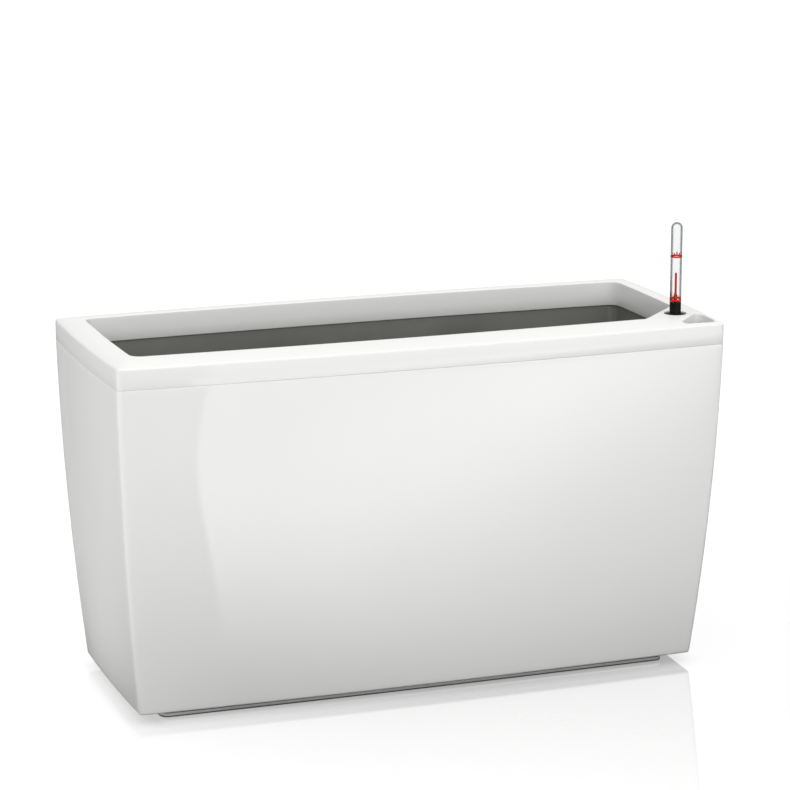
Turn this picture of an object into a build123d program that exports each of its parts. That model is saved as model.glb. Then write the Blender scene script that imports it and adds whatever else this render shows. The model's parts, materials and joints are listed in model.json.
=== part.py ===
from build123d import *
import os

# Self-watering planter: a glossy outer shell carries a removable plant liner with a
# water reservoir in its foot. A rim frame covers the joint between the two. A float
# indicator and a filling funnel stand in one corner of the frame.
# Millimetres, +X along the length, +Y towards the back, +Z up. The origin is the
# centre of the footprint on the floor.

# ---- Plan outline: four bowed sides with rounded corners ----
CORNER_HALF_LENGTH = 370.5
CORNER_HALF_WIDTH = 148.3
END_BOW = 4.5
SIDE_BOW = 8.5
CORNER_RADIUS = 6.0

# ---- Heights ----
SHELL_BOTTOM_Z = 12.0
SEAM_Z = 400.8
SEAM_GAP = 0.5
RIM_EDGE_Z = 424.9
RIM_TOP_Z = 430.5
LIP_TOP_Z = 412.0
SHELL_TOP_Z = SEAM_Z - SEAM_GAP / 2
FRAME_BOTTOM_Z = SEAM_Z + SEAM_GAP / 2

# ---- Outer shell ----
SHELL_WALL = 4.0
SHELL_TAPER = 24.0
TAPER_LINEAR_SHARE = 0.33
BOTTOM_BOW_LOSS = 2.0
LIP_OUTER_INSET = 2.9
LIP_INNER_INSET = 5.4
LIP_ROOT_Z = 388.0
LEDGE_DEPTH = 16.0
LEDGE_THICKNESS = 3.0
LEDGE_ROOT_Z = 350.0
LEDGE_TAPER_Z = 384.0

# ---- Plinth, pads and screws under the shell ----
PLINTH_HALF_LENGTH = 316.5
PLINTH_HALF_WIDTH = 109.0
PLINTH_RING = 14.0
PLINTH_BOTTOM_Z = 1.2
PAD_RADIUS = 5.0
PAD_HEIGHT = 4.0
SCREW_RADIUS = 1.8
SCREW_HEAD_RADIUS = 3.6
SCREW_HEAD_HEIGHT = 2.2

# ---- Plant liner ----
LINER_FLOOR_Z = 28.0
LINER_FLOOR = 3.0
LINER_WALL = 2.5
LINER_TOP_Z = SEAM_Z - 0.3
LINER_TOP_HALF_LENGTH = 345.5
LINER_TOP_HALF_WIDTH = 113.0
LINER_BOTTOM_HALF_LENGTH = 340.3
LINER_BOTTOM_HALF_WIDTH = 112.2
LINER_END_BOW = 2.0
LINER_SIDE_BOW = 7.0
LINER_RADIUS = 14.0
FLANGE_INSET = 6.0
FLANGE_THICKNESS = 3.0

# ---- Frame opening, corner gusset, filling funnel and indicator hole ----
OPENING_HALF_LENGTH = 343.5
OPENING_HALF_WIDTH = 111.0
OPENING_END_BOW = 2.0
OPENING_SIDE_BOW = 7.0
OPENING_RADIUS = 13.0
GUSSET_SUM = 397.0
FRAME_WALL = 2.5
FRAME_TOP = 3.0
CROWN_KNEE_INSET = 9.0
CROWN_KNEE_RISE = 2.5
INDICATOR_X = 330.4
INDICATOR_Y = -94.6
INDICATOR_HOLE_RADIUS = 13.4
FUNNEL_X = 362.3
FUNNEL_Y = -141.0
FUNNEL_SUM = 455.5
FUNNEL_RADIUS = 5.0
FUNNEL_WALL = 1.8
RIB_BOTTOM_Z = 414.0
RIB_THICKNESS = 2.0
PEG_RADIUS = 3.0
PEG_BOTTOM_Z = 391.0
PEG_TOP_Z = 415.0

# ---- Filling hopper in the liner's corner, and the water shaft wall ----
HOPPER_X = 362.7
HOPPER_Y = -140.5
HOPPER_SIDE_X = 315.0
HOPPER_WALL = 2.4
HOPPER_KNEE_Z = 345.0
HOPPER_FOOT_Z = 278.0
SHAFT_SUM = 399.0
SHAFT_WALL = 2.0
SHAFT_CLEARANCE = 0.3

# ---- Lift handles in pockets on the liner's end walls ----
HANDLE_Y = 14.0
POCKET_X = 325.0
POCKET_HALF_WIDTH = 56.0
POCKET_WALL = 2.0
POCKET_BOTTOM_Z = 112.0
POCKET_TOP_Z = 366.0
POCKET_FLANGE = 10.0
POCKET_FLANGE_DEPTH = 6.0
HANDLE_X = 333.0
HANDLE_THICKNESS = 5.0
LEG_WIDTH = 9.0
HANDLE_HALF_WIDTH = 44.0
FOOT_STEP = 5.0
HANDLE_FOOT_Z = 272.0
HANDLE_FOOT_HEIGHT = 8.0
BAR_BOTTOM_Z = 370.0
BAR_HEIGHT = 14.0
BAR_DEPTH = 10.0
GRIP_HALF_WIDTH = 30.0
GRIP_WALL = 1.5
GUIDE_SCREW_HEIGHTS = (140.0, 240.0, 340.0)

# ---- Separator between soil and reservoir ----
SEPARATOR_Z = 116.0
SEPARATOR_PLATE = 3.0
SEPARATOR_HALF_LENGTH = 339.3
SEPARATOR_HALF_WIDTH = 109.6
SEPARATOR_SIDE_BOW = 6.3
SEPARATOR_SKIRT = 10.0
SEPARATOR_SKIRT_WALL = 2.0
SEPARATOR_SUM = 395.0
NOTCH_X = 323.0
NOTCH_MARGIN = 13.0
CUP_RADIUS = 27.0
CUP_FOOT_RADIUS = 21.0
CUP_WALL = 2.0
CUP_FOOT_Z = 36.0
CUP_FLANGE = 4.0
CUP_POSITIONS = (-230.0, -115.0, 115.0, 230.0)
LEG_RADIUS = 6.0
LEG_X = (-300.0, -172.0, 172.0, 296.0)
LEG_Y = 68.0

# ---- Drain plug in the liner's floor ----
PLUG_RADIUS = 8.0
PLUG_HEAD_RADIUS = 15.0
PLUG_HEAD_HEIGHT = 4.5
PLUG_BOTTOM_Z = 22.0
PLUG_CLEARANCE = 0.05
SEAL_HEIGHT = 1.4

# ---- Level indicator and float ----
TUBE_RADIUS = 6.8
TUBE_BORE = 5.6
SPIGOT_BORE = 4.7
SPIGOT_LENGTH = 6.0
TUBE_BOTTOM_Z = 33.0
TUBE_SPLIT_Z = 444.3
TUBE_TOP_Z = 540.8
CAP_BOTTOM_Z = 31.4
CAP_TOP_Z = 38.0
COLLAR_RADIUS = 13.1
COLLAR_BOTTOM_Z = 421.0
COLLAR_TOP_Z = 429.2
RING_RADIUS = 7.1
RING_HEIGHT = 2.0
MIN_RING_Z = 446.0
MAX_RING_Z = 498.5
MARK_WIDTH = 1.5
MARK_PROUD = 0.25
MARK_FACING = 250.0
FLOAT_RADIUS = 5.1
FLOAT_BOTTOM_Z = 75.0
FLOAT_TOP_Z = 125.0
POINTER_RADIUS = 1.35
POINTER_TIP_Z = 479.6
HUB_RADIUS = 2.4
HUB_BOTTOM_Z = 438.0
HUB_SHOULDER_Z = 451.0
HUB_TOP_Z = 455.0


# ---- Shared shapes ----
def bowed_outline(half_length, half_width, end_bow, side_bow, radius, z):
    """A face with four outward-bowed sides and rounded corners, at height z."""
    front_left = (-half_length, -half_width)
    front_right = (half_length, -half_width)
    back_right = (half_length, half_width)
    back_left = (-half_length, half_width)
    front = ThreePointArc(front_left, (0, -half_width - side_bow), front_right)
    right = ThreePointArc(front_right, (half_length + end_bow, 0), back_right)
    back = ThreePointArc(back_right, (0, half_width + side_bow), back_left)
    left = ThreePointArc(back_left, (-half_length - end_bow, 0), front_left)
    face = make_face([front, right, back, left])
    return Pos(0, 0, z) * fillet(face.vertices(), radius)


def taper_share(z):
    """How far down the shell a height is: 0 at the seam, 1 at the bottom."""
    return (SEAM_Z - z) / (SEAM_Z - SHELL_BOTTOM_Z)


def shell_outline(z, inset=0.0):
    """The shell's outer plan at height z, moved inward by inset."""
    share = max(0.0, taper_share(z))
    curve = TAPER_LINEAR_SHARE * share + (1 - TAPER_LINEAR_SHARE) * share**2
    shrink = inset + SHELL_TAPER * curve
    radius = max(CORNER_RADIUS - inset, 2.5)
    return bowed_outline(
        CORNER_HALF_LENGTH - shrink,
        CORNER_HALF_WIDTH - shrink,
        END_BOW - BOTTOM_BOW_LOSS * share,
        SIDE_BOW - BOTTOM_BOW_LOSS * share,
        radius,
        z,
    )


def prism(face, height):
    return extrude(face, amount=height, dir=(0, 0, 1))


def lofted(faces):
    return loft(Sketch() + faces)


def plate(x0, x1, y0, y1, z0, z1):
    """A box given by its limits on each axis."""
    centre = Pos((x0 + x1) / 2, (y0 + y1) / 2, (z0 + z1) / 2)
    return centre * Box(x1 - x0, y1 - y0, z1 - z0)


def rod(x, y, z0, z1, radius):
    """An upright cylinder between two heights."""
    return Pos(x, y, (z0 + z1) / 2) * Cylinder(radius, z1 - z0)


def tube(x, y, z0, z1, outer, inner):
    return rod(x, y, z0, z1, outer) - rod(x, y, z0 - 1, z1 + 1, inner)


def beyond_diagonal(coordinate_sum, z0, z1):
    """Everything in the front right corner with x - y above coordinate_sum."""
    reach = 300.0
    corner = Polygon(
        (coordinate_sum, 0.0),
        (coordinate_sum + reach, 0.0),
        (coordinate_sum + reach, -coordinate_sum - reach),
        (0.0, -coordinate_sum - reach),
        (0.0, -coordinate_sum),
        align=None,
    )
    return prism(Pos(0, 0, z0) * corner, z1 - z0)


def save(name, shape):
    shape.label = name
    export_step(shape, f"parts/{name}.step")


# ---- Outer shell ----
def shell_loft(inset, bottom_z):
    """The tapered body of the shell between bottom_z and the seam."""
    steps = 4
    heights = [bottom_z + (SEAM_Z - bottom_z) * step / steps for step in range(steps + 1)]
    return lofted([shell_outline(z, inset) for z in heights])


def side_ledge(x, side):
    """A bracket on a long wall that carries the liner's flange."""
    wall_y = CORNER_HALF_WIDTH + SIDE_BOW * (1 - (x / CORNER_HALF_LENGTH) ** 2)
    outline = Polygon(
        (wall_y - 2.0, LEDGE_ROOT_Z),
        (wall_y - 2.0, LINER_TOP_Z - FLANGE_THICKNESS),
        (wall_y - SHELL_WALL - LEDGE_DEPTH, LINER_TOP_Z - FLANGE_THICKNESS),
        (wall_y - SHELL_WALL - LEDGE_DEPTH, LEDGE_TAPER_Z),
        align=None,
    )
    bracket = extrude(Plane.YZ * outline, amount=LEDGE_THICKNESS / 2, both=True)
    return Pos(x, 0, 0) * (bracket if side > 0 else mirror(bracket, Plane.XZ))


def end_ledge(y, side):
    """A bracket on an end wall that carries the liner's flange."""
    wall_x = CORNER_HALF_LENGTH + END_BOW * (1 - (y / CORNER_HALF_WIDTH) ** 2)
    outline = Polygon(
        (wall_x - 2.0, LEDGE_ROOT_Z),
        (wall_x - 2.0, LINER_TOP_Z - FLANGE_THICKNESS),
        (wall_x - SHELL_WALL - LEDGE_DEPTH, LINER_TOP_Z - FLANGE_THICKNESS),
        (wall_x - SHELL_WALL - LEDGE_DEPTH, LEDGE_TAPER_Z),
        align=None,
    )
    bracket = extrude(Plane.XZ * outline, amount=LEDGE_THICKNESS / 2, both=True)
    return Pos(0, y, 0) * (bracket if side > 0 else mirror(bracket, Plane.YZ))


def outer_shell():
    body = shell_loft(0.0, SHELL_BOTTOM_Z)
    body -= plate(-400, 400, -200, 200, SHELL_TOP_Z, SEAM_Z + 5)
    body -= shell_loft(SHELL_WALL, SHELL_BOTTOM_Z + SHELL_WALL)
    lip = prism(shell_outline(SEAM_Z, LIP_OUTER_INSET), LIP_TOP_Z - SEAM_Z)
    lip += prism(
        Pos(0, 0, LIP_ROOT_Z - SEAM_Z) * shell_outline(SEAM_Z, LIP_OUTER_INSET),
        SEAM_Z - LIP_ROOT_Z,
    )
    lip -= prism(
        Pos(0, 0, LIP_ROOT_Z - SEAM_Z - 1) * shell_outline(SEAM_Z, LIP_INNER_INSET),
        LIP_TOP_Z - LIP_ROOT_Z + 2,
    )
    body += lip
    for side in (-1, 1):
        for x in (-260.0, -87.0, 87.0, 260.0):
            body += side_ledge(x, side)
        for y in (-62.0, 62.0):
            body += end_ledge(y, side)
    for x, y in plinth_screw_positions():
        body -= rod(x, y, SHELL_BOTTOM_Z - 1, SHELL_BOTTOM_Z + 3.2, SCREW_RADIUS)
    return body


# ---- Plinth ----
def pad_positions():
    x = PLINTH_HALF_LENGTH - PLINTH_RING / 2
    y = PLINTH_HALF_WIDTH - PLINTH_RING / 2
    return [(px, py) for px in (-x + 12, 0.0, x - 12) for py in (-y, y)]


def plinth_screw_positions():
    y = PLINTH_HALF_WIDTH - PLINTH_RING / 2
    return [(x, side * y) for x in (-220.0, -110.0, 110.0, 220.0) for side in (-1, 1)]


def base_plinth():
    height = SHELL_BOTTOM_Z - PLINTH_BOTTOM_Z
    outer = bowed_outline(PLINTH_HALF_LENGTH, PLINTH_HALF_WIDTH, 2.0, 3.0, 10.0, PLINTH_BOTTOM_Z)
    inner = bowed_outline(
        PLINTH_HALF_LENGTH - PLINTH_RING,
        PLINTH_HALF_WIDTH - PLINTH_RING,
        2.0,
        3.0,
        4.0,
        PLINTH_BOTTOM_Z - 1,
    )
    ring = prism(outer, height) - prism(inner, height + 2)
    for x, y in pad_positions():
        ring -= rod(x, y, PLINTH_BOTTOM_Z - 1, PAD_HEIGHT, PAD_RADIUS)
    for x, y in plinth_screw_positions():
        ring -= rod(x, y, PLINTH_BOTTOM_Z - 1, SHELL_BOTTOM_Z + 1, SCREW_RADIUS)
        ring -= rod(x, y, PLINTH_BOTTOM_Z - 1, PLINTH_BOTTOM_Z + SCREW_HEAD_HEIGHT, SCREW_HEAD_RADIUS)
    return ring


def foot_pads():
    pads = [rod(x, y, 0.0, PAD_HEIGHT, PAD_RADIUS) for x, y in pad_positions()]
    return Compound(children=[fillet(p.edges().group_by(Axis.Z)[0], 0.8) for p in pads])


def plinth_screws():
    screws = []
    for x, y in plinth_screw_positions():
        head_top = PLINTH_BOTTOM_Z + SCREW_HEAD_HEIGHT
        head = rod(x, y, PLINTH_BOTTOM_Z, head_top, SCREW_HEAD_RADIUS)
        head -= Pos(x, y, PLINTH_BOTTOM_Z) * Box(4.4, 0.8, 2.0)
        head -= Pos(x, y, PLINTH_BOTTOM_Z) * Box(0.8, 4.4, 2.0)
        screws.append(head + rod(x, y, head_top, SHELL_BOTTOM_Z + 3.0, SCREW_RADIUS))
    return Compound(children=screws)


# ---- Plant liner ----
def liner_outline(z, grow):
    """The liner's inner plan at height z, moved outward by grow."""
    share = (z - LINER_FLOOR_Z) / (LINER_TOP_Z - LINER_FLOOR_Z)
    half_length = LINER_BOTTOM_HALF_LENGTH + share * (LINER_TOP_HALF_LENGTH - LINER_BOTTOM_HALF_LENGTH)
    half_width = LINER_BOTTOM_HALF_WIDTH + share * (LINER_TOP_HALF_WIDTH - LINER_BOTTOM_HALF_WIDTH)
    return bowed_outline(
        half_length + grow,
        half_width + grow,
        LINER_END_BOW,
        LINER_SIDE_BOW,
        LINER_RADIUS + grow,
        z,
    )


def liner_space(grow, bottom_z):
    """The space inside the liner's walls, from bottom_z to its top."""
    return lofted([liner_outline(bottom_z, grow), liner_outline(LINER_TOP_Z, grow)])


def hopper(wall):
    """The corner pocket below the filling funnel; wall is 0 for its outside."""
    side_x = HOPPER_SIDE_X + wall
    upper = plate(side_x, HOPPER_X - wall, HOPPER_Y + wall, -90.0, HOPPER_KNEE_Z, LINER_TOP_Z)
    mouth = Pos(0, 0, HOPPER_KNEE_Z) * Polygon(
        (side_x, HOPPER_Y + wall),
        (HOPPER_X - wall, HOPPER_Y + wall),
        (HOPPER_X - wall, -90.0),
        (side_x, -90.0),
        align=None,
    )
    foot = Pos(0, 0, HOPPER_FOOT_Z) * Polygon(
        (side_x, -114.0 + wall),
        (343.5 - wall, -114.0 + wall),
        (343.5 - wall, -90.0),
        (side_x, -90.0),
        align=None,
    )
    return upper + loft(Sketch() + [mouth, foot])


def guide_screw_positions(side):
    reach = POCKET_HALF_WIDTH + POCKET_FLANGE / 2
    return [
        (side, HANDLE_Y + offset, z) for offset in (-reach, reach) for z in GUIDE_SCREW_HEIGHTS
    ]


def cross_rod(x0, x1, y, z, radius):
    """A cylinder along X between two places."""
    return Pos((x0 + x1) / 2, y, z) * (Rot(0, 90, 0) * Cylinder(radius, abs(x1 - x0)))


def peg_positions():
    return [(x, side * 134.5) for x in (-200.0, 0.0, 200.0) for side in (-1, 1)]


def plant_liner():
    body = liner_space(LINER_WALL, LINER_FLOOR_Z)
    flange_z = LINER_TOP_Z - FLANGE_THICKNESS
    flange = prism(Pos(0, 0, flange_z - SEAM_Z) * shell_outline(SEAM_Z, FLANGE_INSET), FLANGE_THICKNESS)
    body += flange
    body += hopper(0.0)
    for side in (-1, 1):
        for _, y, z in guide_screw_positions(side):
            body += cross_rod(side * 341.0, side * 352.0, y, z, 4.5)
    body -= liner_space(0.0, LINER_FLOOR_Z + LINER_FLOOR)
    body -= hopper(HOPPER_WALL)
    body -= plate(HOPPER_SIDE_X, 340, -110, -90, LINER_TOP_Z - 1, LINER_TOP_Z + 1)
    for side in (-1, 1):
        for _, y, z in guide_screw_positions(side):
            body -= cross_rod(side * 330.0, side * 350.5, y, z, SCREW_RADIUS)
    for x, y in peg_positions():
        body -= rod(x, y, flange_z - 1, LINER_TOP_Z + 1, PEG_RADIUS + 0.5)
    body -= rod(0, 0, LINER_FLOOR_Z - 1, LINER_FLOOR_Z + LINER_FLOOR + 1, PLUG_RADIUS + PLUG_CLEARANCE)
    return body


def water_shaft():
    """The diagonal wall that parts the filling corner from the soil."""
    bottom_z = LINER_FLOOR_Z + LINER_FLOOR + 0.2
    wall = beyond_diagonal(SHAFT_SUM, bottom_z, LINER_TOP_Z - 0.2)
    wall -= beyond_diagonal(SHAFT_SUM + SHAFT_WALL * 2**0.5, bottom_z - 1, LINER_TOP_Z + 1)
    wall &= liner_space(-SHAFT_CLEARANCE, bottom_z)
    middle = ((SHAFT_SUM + 230.0) / 2, -(SHAFT_SUM - 230.0) / 2)
    for offset in (-18.0, -6.0, 6.0, 18.0):
        x = middle[0] + offset / 2**0.5
        y = middle[1] + offset / 2**0.5
        wall -= Pos(x, y, 58.0) * (Rot(0, 0, 45) * Box(5.0, 12.0, 40.0))
    return wall


# ---- Handle pockets, guide screws, handles and grips ----
def handle_guide(side):
    """A pocket on one end wall: a front plate, two cheeks, flanges and a slotted top."""
    y0 = HANDLE_Y - POCKET_HALF_WIDTH
    y1 = HANDLE_Y + POCKET_HALF_WIDTH
    back = 350.0
    box = plate(POCKET_X, back, y0, y1, POCKET_BOTTOM_Z, POCKET_TOP_Z)
    box -= plate(
        POCKET_X + POCKET_WALL,
        back + 1,
        y0 + POCKET_WALL,
        y1 - POCKET_WALL,
        POCKET_BOTTOM_Z - 1,
        POCKET_TOP_Z - 4.0,
    )
    for y in (y0 - POCKET_FLANGE, y1):
        flange_x = 343.0 - POCKET_FLANGE_DEPTH
        box += plate(flange_x, back, y, y + POCKET_FLANGE, POCKET_BOTTOM_Z, POCKET_TOP_Z)
    slot = HANDLE_THICKNESS / 2 + 0.4
    for edge in (-1, 1):
        leg_y = HANDLE_Y + edge * (HANDLE_HALF_WIDTH - LEG_WIDTH / 2)
        half = LEG_WIDTH / 2 + 0.4
        box -= plate(
            HANDLE_X - slot,
            HANDLE_X + slot,
            leg_y - half,
            leg_y + half,
            POCKET_TOP_Z - 5,
            POCKET_TOP_Z + 1,
        )
    box -= plate(POCKET_X + 6, back + 1, HANDLE_Y - 26, HANDLE_Y + 26, POCKET_TOP_Z - 5, POCKET_TOP_Z + 1)
    if side < 0:
        box = mirror(box, Plane.YZ)
    box &= liner_space(-0.15, POCKET_BOTTOM_Z - 2)
    for _, y, z in guide_screw_positions(side):
        box -= cross_rod(side * 330.0, side * 350.0, y, z, SCREW_RADIUS)
    return box


def guide_screws():
    """Pan-head screws that hold both pockets to the liner's end walls."""
    screws = []
    for side in (-1, 1):
        for _, y, z in guide_screw_positions(side):
            flange_face = 343.0 - POCKET_FLANGE_DEPTH
            head = cross_rod(side * (flange_face - 2.4), side * flange_face, y, z, SCREW_HEAD_RADIUS)
            shank = cross_rod(side * flange_face, side * 350.0, y, z, SCREW_RADIUS)
            head -= Pos(side * (flange_face - 2.4), y, z) * Box(2.4, 0.8, 4.4)
            head -= Pos(side * (flange_face - 2.4), y, z) * Box(2.4, 4.4, 0.8)
            screws.append(head + shank)
    return Compound(children=screws)


def lift_handle(side):
    """A pull-up loop: two legs with stop feet and a rounded bar."""
    half_thickness = HANDLE_THICKNESS / 2
    loop = fillet(
        plate(
            HANDLE_X - BAR_DEPTH / 2,
            HANDLE_X + BAR_DEPTH / 2,
            HANDLE_Y - HANDLE_HALF_WIDTH,
            HANDLE_Y + HANDLE_HALF_WIDTH,
            BAR_BOTTOM_Z,
            BAR_BOTTOM_Z + BAR_HEIGHT,
        )
        .edges()
        .filter_by(Axis.Y),
        4.0,
    )
    for edge in (-1, 1):
        inner = HANDLE_HALF_WIDTH - LEG_WIDTH
        outer = HANDLE_HALF_WIDTH
        y_low, y_high = sorted((HANDLE_Y + edge * inner, HANDLE_Y + edge * outer))
        loop += plate(
            HANDLE_X - half_thickness,
            HANDLE_X + half_thickness,
            y_low,
            y_high,
            HANDLE_FOOT_Z,
            BAR_BOTTOM_Z + 4,
        )
        y_low, y_high = sorted((HANDLE_Y + edge * inner, HANDLE_Y + edge * (outer + FOOT_STEP)))
        loop += plate(
            HANDLE_X - half_thickness,
            HANDLE_X + half_thickness,
            y_low,
            y_high,
            HANDLE_FOOT_Z,
            HANDLE_FOOT_Z + HANDLE_FOOT_HEIGHT,
        )
    return loop if side > 0 else mirror(loop, Plane.YZ)


def handle_grip(side):
    """A soft sleeve around the middle of a handle's bar."""
    sleeve = plate(
        HANDLE_X - BAR_DEPTH / 2 - GRIP_WALL,
        HANDLE_X + BAR_DEPTH / 2 + GRIP_WALL,
        HANDLE_Y - GRIP_HALF_WIDTH,
        HANDLE_Y + GRIP_HALF_WIDTH,
        BAR_BOTTOM_Z - GRIP_WALL,
        BAR_BOTTOM_Z + BAR_HEIGHT + GRIP_WALL,
    )
    sleeve = fillet(sleeve.edges().filter_by(Axis.Y), 5.0)
    for step in range(-5, 6):
        y = HANDLE_Y + step * 5.0
        sleeve -= plate(300, 400, y - 0.8, y + 0.8, BAR_BOTTOM_Z - GRIP_WALL - 1, BAR_BOTTOM_Z - 0.7)
    if side < 0:
        sleeve = mirror(sleeve, Plane.YZ)
    return sleeve - lift_handle(side)


# ---- Rim frame ----
def opening_face(grow, z):
    """The planting opening's plan, with the corner cut off by the gusset."""
    rounded = bowed_outline(
        OPENING_HALF_LENGTH + grow,
        OPENING_HALF_WIDTH + grow,
        OPENING_END_BOW,
        OPENING_SIDE_BOW,
        OPENING_RADIUS + grow,
        z,
    )
    reach = 200.0
    cut = GUSSET_SUM + grow * 2**0.5
    corner = Pos(0, 0, z) * Polygon(
        (cut, 0.0), (cut + reach, 0.0), (cut + reach, -cut - reach), (0.0, -cut - reach), (0.0, -cut), align=None
    )
    face = rounded - corner
    on_cut = [v for v in face.vertices() if abs(v.X - v.Y - cut) < 0.01]
    return fillet(on_cut, 10.0)


def funnel_face(grow, z):
    """The triangular filling opening, right-angled at the planter's corner."""
    corner_x = FUNNEL_X + grow
    corner_y = FUNNEL_Y - grow
    total = FUNNEL_SUM - grow * 2**0.5
    face = Polygon(
        (corner_x, corner_y), (corner_x, corner_x - total), (total + corner_y, corner_y), align=None
    )
    return Pos(0, 0, z) * fillet(face.vertices(), FUNNEL_RADIUS + grow)


def frame_block(inset, top_drop, bottom_z):
    """The frame's filled outer form, moved inward by inset and down by top_drop."""
    edge_z = RIM_EDGE_Z - top_drop
    knee_z = edge_z + CROWN_KNEE_RISE
    at_edge = Pos(0, 0, edge_z - SEAM_Z) * shell_outline(SEAM_Z, inset)
    at_knee = Pos(0, 0, knee_z - SEAM_Z) * shell_outline(SEAM_Z, inset + CROWN_KNEE_INSET)
    at_top = bowed_outline(
        OPENING_HALF_LENGTH + 1.0,
        OPENING_HALF_WIDTH + 1.0,
        OPENING_END_BOW,
        OPENING_SIDE_BOW,
        OPENING_RADIUS,
        RIM_TOP_Z - top_drop,
    )
    base = Pos(0, 0, bottom_z - SEAM_Z) * shell_outline(SEAM_Z, inset)
    block = prism(base, edge_z - bottom_z)
    block += loft(Sketch() + [at_edge, at_knee], ruled=True)
    block += loft(Sketch() + [at_knee, at_top], ruled=True)
    return block


def planter_frame():
    height = RIM_TOP_Z - LINER_TOP_Z + 4
    skirt = prism(opening_face(FRAME_WALL, LINER_TOP_Z), height)
    skirt &= frame_block(0.0, 0.0, LINER_TOP_Z)
    hollow = frame_block(FRAME_WALL, FRAME_TOP, LINER_TOP_Z - 1)
    hollow -= prism(opening_face(FRAME_WALL, LINER_TOP_Z - 2), height)
    hollow -= rod(INDICATOR_X, INDICATOR_Y, COLLAR_BOTTOM_Z - 4, RIM_TOP_Z, INDICATOR_HOLE_RADIUS + 2)
    hollow -= prism(funnel_face(FUNNEL_WALL, LINER_TOP_Z + 0.4), height)
    for x in (-300.0, -240.0, -150.0, -100.0, -50.0, 50.0, 100.0, 150.0, 240.0):
        hollow -= plate(x - RIB_THICKNESS / 2, x + RIB_THICKNESS / 2, -160, 160, RIB_BOTTOM_Z, RIM_TOP_Z)
    for y in (-40.0, 40.0, 90.0):
        hollow -= plate(-380, 380, y - RIB_THICKNESS / 2, y + RIB_THICKNESS / 2, RIB_BOTTOM_Z, RIM_TOP_Z)
    for x, y in peg_positions():
        hollow -= rod(x, y, LINER_TOP_Z + 2.5, RIM_TOP_Z, PEG_RADIUS + 2)
    body = frame_block(0.0, 0.0, FRAME_BOTTOM_Z) + skirt
    body -= hollow
    body -= prism(opening_face(0.0, LINER_TOP_Z - 2), height + 4)
    body -= rod(INDICATOR_X, INDICATOR_Y, LINER_TOP_Z - 2, RIM_TOP_Z + 4, INDICATOR_HOLE_RADIUS)
    body -= prism(funnel_face(0.0, LINER_TOP_Z - 2), height + 4)
    for x, y in peg_positions():
        body -= rod(x, y, LINER_TOP_Z - 2, PEG_TOP_Z, PEG_RADIUS)
    return body


def frame_pegs():
    pegs = []
    for x, y in peg_positions():
        peg = rod(x, y, PEG_BOTTOM_Z, PEG_TOP_Z, PEG_RADIUS)
        pegs.append(chamfer(peg.edges().group_by(Axis.Z)[0], 1.2))
    return Compound(children=pegs)


# ---- Separator, soil cups and legs ----
def separator_face(grow, z):
    rounded = bowed_outline(
        SEPARATOR_HALF_LENGTH + grow,
        SEPARATOR_HALF_WIDTH + grow,
        LINER_END_BOW,
        SEPARATOR_SIDE_BOW,
        LINER_RADIUS + grow,
        z,
    )
    notch_half = POCKET_HALF_WIDTH + NOTCH_MARGIN - grow
    for side in (-1, 1):
        centre_x = side * (NOTCH_X + grow + 50.0)
        rounded -= Pos(centre_x, HANDLE_Y, z) * Rectangle(100.0, 2 * notch_half)
    cut = SEPARATOR_SUM + grow * 2**0.5
    reach = 200.0
    rounded -= Pos(0, 0, z) * Polygon(
        (cut, 0.0), (cut + reach, 0.0), (cut + reach, -cut - reach), (0.0, -cut - reach), (0.0, -cut), align=None
    )
    return rounded


def soil_separator():
    """A slotted plate with a stiffening skirt around its edge."""
    skirt = prism(separator_face(0.0, SEPARATOR_Z - SEPARATOR_SKIRT), SEPARATOR_SKIRT)
    skirt -= prism(
        separator_face(-SEPARATOR_SKIRT_WALL, SEPARATOR_Z - SEPARATOR_SKIRT - 1), SEPARATOR_SKIRT + 1
    )
    body = prism(separator_face(0.0, SEPARATOR_Z), SEPARATOR_PLATE) + skirt
    slots = Sketch()
    for x in range(-300, 301, 20):
        for y in (-88, -52, 0, 52, 88):
            near_cup = abs(y) < 60 and min(abs(x - c) for c in CUP_POSITIONS) < CUP_RADIUS + 12
            near_leg = abs(y) in (52, 88) and min(abs(x - c) for c in LEG_X) < LEG_RADIUS + 6
            outside = abs(x) > 280 and y < -60
            if not (near_cup or near_leg or outside):
                slots += Pos(x, y) * SlotOverall(18.0, 3.0, rotation=90)
    body -= prism(Pos(0, 0, SEPARATOR_Z - 1) * slots, SEPARATOR_PLATE + 2)
    for x in CUP_POSITIONS:
        body -= rod(x, 0, SEPARATOR_Z - 2, SEPARATOR_Z + SEPARATOR_PLATE + 2, CUP_RADIUS)
    return body


def soil_cups():
    """Slotted cups that reach down into the water and wick it up to the soil."""
    top_z = SEPARATOR_Z + SEPARATOR_PLATE
    depth = top_z - CUP_FOOT_Z
    cups = []
    for x in CUP_POSITIONS:
        outside = Cone(CUP_FOOT_RADIUS, CUP_RADIUS, depth)
        inside = Pos(0, 0, CUP_WALL) * Cone(CUP_FOOT_RADIUS - CUP_WALL, CUP_RADIUS - CUP_WALL, depth)
        cup = Pos(0, 0, CUP_FOOT_Z + depth / 2) * outside
        cup += rod(0, 0, top_z, top_z + CUP_WALL, CUP_RADIUS + CUP_FLANGE)
        cup -= Pos(0, 0, CUP_FOOT_Z + depth / 2) * inside
        cup -= rod(0, 0, top_z - CUP_WALL, top_z + CUP_WALL + 1, CUP_RADIUS - CUP_WALL)
        for turn in range(0, 180, 45):
            cup -= Pos(0, 0, 66.0) * (Rot(0, 0, turn) * Box(80.0, 3.0, 44.0))
        cups.append(Pos(x, 0, 0) * cup)
    return Compound(children=cups)


def leg_positions():
    return [(x, side * LEG_Y) for x in LEG_X for side in (-1, 1)]


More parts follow.
